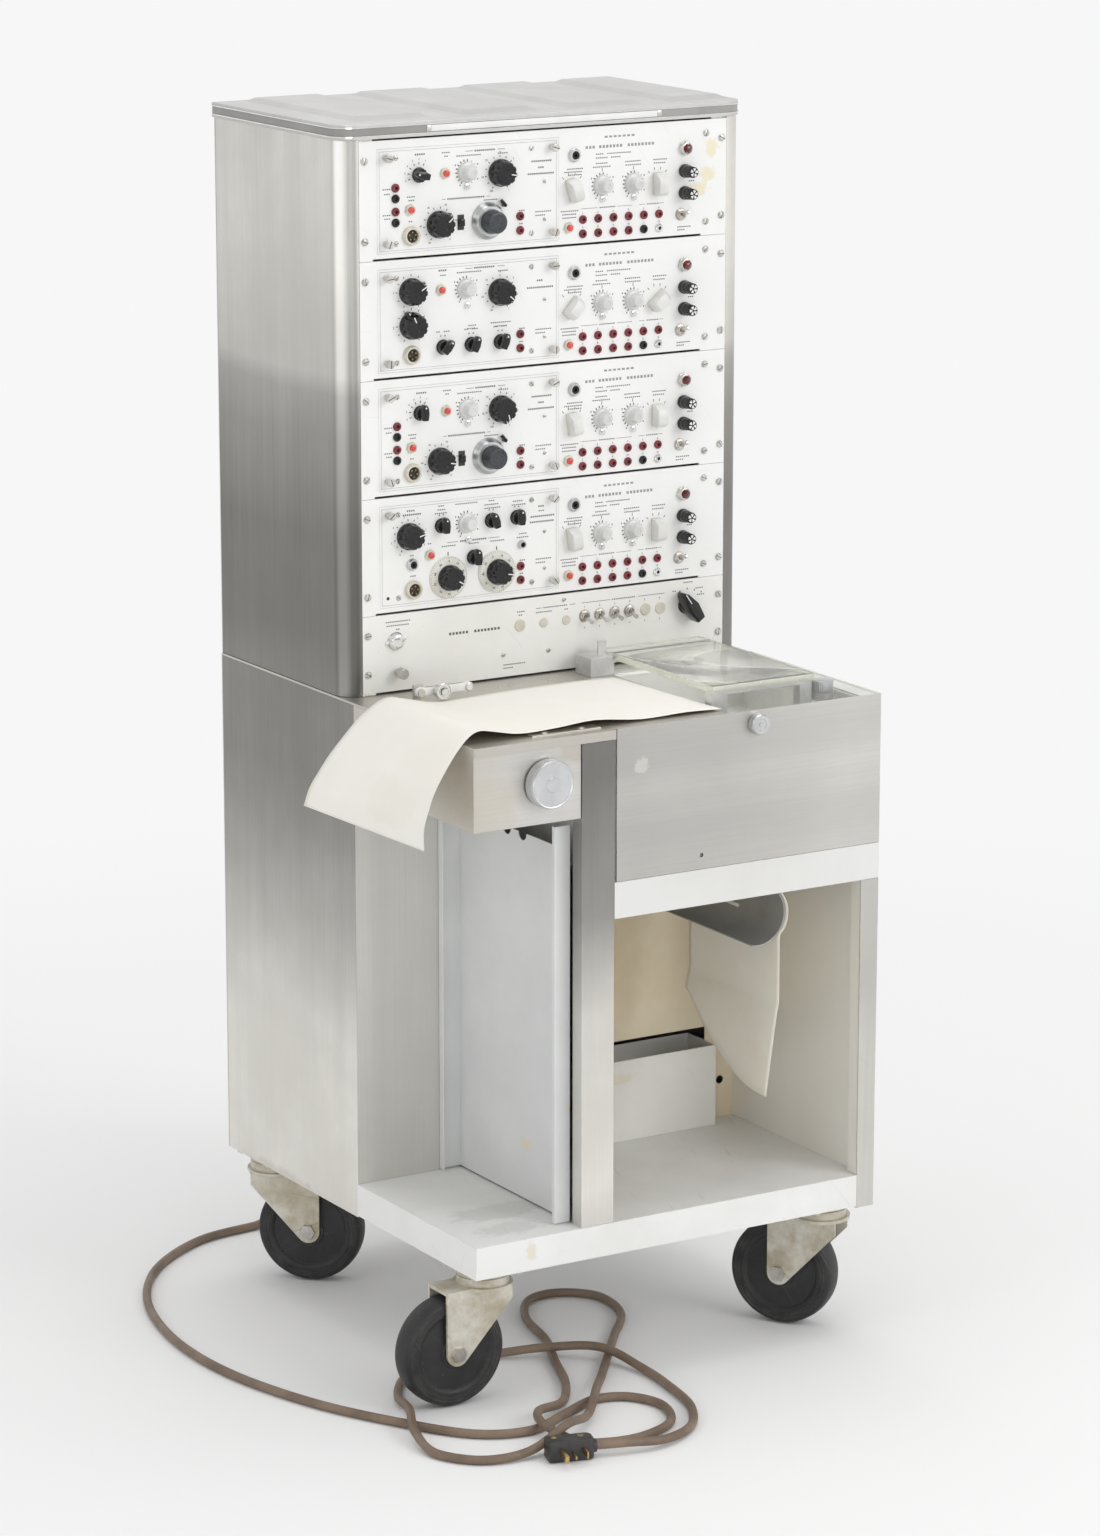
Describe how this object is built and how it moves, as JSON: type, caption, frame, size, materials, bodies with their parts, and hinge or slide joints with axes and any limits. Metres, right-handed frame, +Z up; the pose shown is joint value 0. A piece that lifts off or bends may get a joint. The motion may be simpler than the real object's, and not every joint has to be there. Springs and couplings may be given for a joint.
{
  "type": "polygraph chart recorder",
  "caption": "Physiological chart recorder on a castored console: rack of amplifier panels with knobs, switches and jacks over a writing deck, paper drive, storage bays and mains cord",
  "frame": {"origin": "on the floor, under the middle of the cabinet's footprint", "axes": "+X to the operator's right, +Y to the back, +Z up"},
  "size_m": [0.7325, 0.9145, 1.4078],
  "materials": {
    "brushed_panel": "brushed, dull and stained",
    "grey_paint": "satin, scuffed",
    "panel_white": "satin",
    "lid_paint": "fine texture",
    "tan_metal": "satin",
    "blue_grey_metal": "brushed",
    "dark_metal": "matte",
    "cast_aluminium": "cast",
    "satin_aluminium": "satin",
    "plated_steel": "dull plating",
    "castor_zinc": "dull zinc",
    "castor_rubber": "dusty",
    "cord_rubber": "worn",
    "plug_plastic": "satin",
    "red_plastic": "gloss",
    "black_plastic": "satin",
    "white_plastic": "satin",
    "clear_plastic": "gloss",
    "chart_paper": "matte"
  },
  "bodies": {
    "console": {"side_panels": "brushed_panel", "back_panels": "brushed_panel", "base_tray": "grey_paint", "bulkhead": "tan_metal", "middle_post": "brushed_panel", "deck_plate": "brushed_panel", "chute_panel": "blue_grey_metal", "drive_box": "brushed_panel", "writer_well": "brushed_panel", "writer_cover": "brushed_panel", "storage_shelf": "grey_paint", "storage_bin": "grey_paint", "paper_guide": "dark_metal", "upper_shell": "brushed_panel", "lid": "lid_paint", "rack_rails": "plated_steel", "driver_amplifiers": "panel_white", "preamplifiers": "panel_white", "writer_control": "panel_white", "panel_screws": "plated_steel", "panel_fittings": "red_plastic", "black_knobs": "black_plastic", "white_knobs": "white_plastic", "clear_plate": "clear_plastic", "plate_bracket": "cast_aluminium", "chart_paper": "chart_paper", "hanging_paper": "chart_paper", "mains_cord": "cord_rubber", "mains_plug": "plug_plastic", "cord_gland": "plug_plastic", "castor_plates": "castor_zinc"},
    "swivel_front_left": {"fork_front_left": "castor_zinc"},
    "wheel_front_left": {"wheel_front_left": "castor_rubber"},
    "swivel_front_right": {"fork_front_right": "castor_zinc"},
    "wheel_front_right": {"wheel_front_right": "castor_rubber"},
    "swivel_back_left": {"fork_back_left": "castor_zinc"},
    "wheel_back_left": {"wheel_back_left": "castor_rubber"},
    "swivel_back_right": {"fork_back_right": "castor_zinc"},
    "wheel_back_right": {"wheel_back_right": "castor_rubber"},
    "drive_knob": {"drive_knob": "satin_aluminium"},
    "pressure_arm": {"pressure_arm": "grey_paint"},
    "pressure_wheel": {"pressure_wheel": "plated_steel"},
    "thumb_nut": {"thumb_nut": "satin_aluminium"},
    "chart_selector": {"chart_selector": "black_plastic"},
    "writer_toggle_1": {"writer_toggle_1": "plated_steel"},
    "writer_toggle_2": {"writer_toggle_2": "plated_steel"},
    "writer_toggle_3": {"writer_toggle_3": "plated_steel"},
    "writer_toggle_4": {"writer_toggle_4": "plated_steel"},
    "polarity_switch": {"polarity_switch": "white_plastic"},
    "filter_switch": {"filter_switch": "white_plastic"},
    "gain_knob": {"gain_knob": "white_plastic"},
    "position_knob": {"position_knob": "white_plastic"},
    "power_toggle": {"power_toggle": "plated_steel"},
    "cal_button": {"cal_button": "red_plastic"},
    "input_selector": {"input_selector": "black_plastic"},
    "vernier_knob": {"vernier_knob": "white_plastic"},
    "sensitivity_knob": {"sensitivity_knob": "black_plastic"},
    "balance_knob": {"balance_knob": "black_plastic"},
    "slide_switch": {"slide_switch": "black_plastic"},
    "ten_turn_dial": {"ten_turn_dial": "black_plastic"}
  },
  "joints": [
    {"name": "swivel_front_left", "type": "hinge", "parent": "console", "child": "swivel_front_left", "pos_m": [-0.228, -0.241, 0.142], "axis": [0, 0, 1], "continuous": true},
    {"name": "roll_front_left", "type": "hinge", "parent": "swivel_front_left", "child": "wheel_front_left", "pos_m": [-0.272, -0.241, 0.0635], "axis": [0, -1, 0], "continuous": true},
    {"name": "swivel_front_right", "type": "hinge", "parent": "console", "child": "swivel_front_right", "pos_m": [0.228, -0.241, 0.142], "axis": [0, 0, 1], "continuous": true},
    {"name": "roll_front_right", "type": "hinge", "parent": "swivel_front_right", "child": "wheel_front_right", "pos_m": [0.2034, -0.20452, 0.0635], "axis": [-0.829, -0.5592, 0], "continuous": true},
    {"name": "swivel_back_left", "type": "hinge", "parent": "console", "child": "swivel_back_left", "pos_m": [-0.228, 0.246, 0.142], "axis": [0, 0, 1], "continuous": true},
    {"name": "roll_back_left", "type": "hinge", "parent": "swivel_back_left", "child": "wheel_back_left", "pos_m": [-0.19582, 0.21599, 0.0635], "axis": [0.682, 0.7314, 0], "continuous": true},
    {"name": "swivel_back_right", "type": "hinge", "parent": "console", "child": "swivel_back_right", "pos_m": [0.228, 0.246, 0.142], "axis": [0, 0, 1], "continuous": true},
    {"name": "roll_back_right", "type": "hinge", "parent": "swivel_back_right", "child": "wheel_back_right", "pos_m": [0.24305, 0.28735, 0.0635], "axis": [-0.9397, 0.342, 0], "continuous": true},
    {"name": "paper_drive", "type": "hinge", "parent": "console", "child": "drive_knob", "pos_m": [-0.176, -0.2925, 0.712], "axis": [0, -1, 0], "continuous": true},
    {"name": "arm_lift", "type": "hinge", "parent": "console", "child": "pressure_arm", "pos_m": [-0.2, -0.059, 0.7712], "axis": [0, -1, 0], "range_deg": [0, 60]},
    {"name": "pressure_roll", "type": "hinge", "parent": "pressure_arm", "child": "pressure_wheel", "pos_m": [-0.175, -0.0665, 0.7712], "axis": [0, 1, 0], "continuous": true},
    {"name": "cover_nut", "type": "hinge", "parent": "console", "child": "thumb_nut", "pos_m": [0.098, -0.2928, 0.746], "axis": [0, -1, 0], "continuous": true},
    {"name": "chart_selector_turn", "type": "hinge", "parent": "console", "child": "chart_selector", "pos_m": [0.189, -0.0025, 0.8205], "axis": [0, -1, 0], "range_deg": [-90, 0]},
    {"name": "writer_toggle_1_flip", "type": "hinge", "parent": "console", "child": "writer_toggle_1", "pos_m": [0.0512, -0.0037, 0.822], "axis": [-1, 0, 0], "range_deg": [0, 32]},
    {"name": "writer_toggle_2_flip", "type": "hinge", "parent": "console", "child": "writer_toggle_2", "pos_m": [0.0715, -0.0037, 0.822], "axis": [-1, 0, 0], "range_deg": [0, 32]},
    {"name": "writer_toggle_3_flip", "type": "hinge", "parent": "console", "child": "writer_toggle_3", "pos_m": [0.0918, -0.0037, 0.822], "axis": [-1, 0, 0], "range_deg": [0, 32]},
    {"name": "writer_toggle_4_flip", "type": "hinge", "parent": "console", "child": "writer_toggle_4", "pos_m": [0.1121, -0.0037, 0.822], "axis": [-1, 0, 0], "range_deg": [0, 32]},
    {"name": "polarity_switch_turn", "type": "hinge", "parent": "console", "child": "polarity_switch", "pos_m": [0.0336, -0.0025, 1.31435], "axis": [0, -1, 0], "range_deg": [-60, 30]},
    {"name": "filter_switch_turn", "type": "hinge", "parent": "console", "child": "filter_switch", "pos_m": [0.148, -0.0025, 1.31445], "axis": [0, -1, 0], "range_deg": [-45, 45]},
    {"name": "gain_knob_turn", "type": "hinge", "parent": "console", "child": "gain_knob", "pos_m": [0.074, -0.0025, 1.31735], "axis": [0, -1, 0], "range_deg": [-150, 150]},
    {"name": "position_knob_turn", "type": "hinge", "parent": "console", "child": "position_knob", "pos_m": [0.1157, -0.0025, 1.31715], "axis": [0, -1, 0], "range_deg": [-150, 150]},
    {"name": "power_toggle_flip", "type": "hinge", "parent": "console", "child": "power_toggle", "pos_m": [0.1798, -0.0037, 1.27745], "axis": [1, 0, 0], "range_deg": [0, 32]},
    {"name": "cal_press", "type": "slide", "parent": "console", "child": "cal_button", "axis": [0, 1, 0], "range_m": [0, 0.0025], "stiffness_N_per_m": 600, "springref_m": -0.001},
    {"name": "input_selector_turn", "type": "hinge", "parent": "console", "child": "input_selector", "pos_m": [-0.1655, -0.0025, 1.34345], "axis": [0, -1, 0], "range_deg": [-180, 30]},
    {"name": "vernier_knob_turn", "type": "hinge", "parent": "console", "child": "vernier_knob", "pos_m": [-0.104, -0.0025, 1.34295], "axis": [0, -1, 0], "range_deg": [-150, 150]},
    {"name": "sensitivity_knob_turn", "type": "hinge", "parent": "console", "child": "sensitivity_knob", "pos_m": [-0.0606, -0.0025, 1.33965], "axis": [0, -1, 0], "range_deg": [-35, 235]},
    {"name": "balance_knob_turn", "type": "hinge", "parent": "console", "child": "balance_knob", "pos_m": [-0.1404, -0.0025, 1.28695], "axis": [0, -1, 0], "range_deg": [-100, 200]},
    {"name": "slide_switch_slide", "type": "slide", "parent": "console", "child": "slide_switch", "axis": [0, 0, 1], "range_m": [-0.003, 0.003]},
    {"name": "ten_turn_dial_turn", "type": "hinge", "parent": "console", "child": "ten_turn_dial", "pos_m": [-0.077, -0.0025, 1.28695], "axis": [0, 1, 0], "range_deg": [0, 3600]}
  ]
}
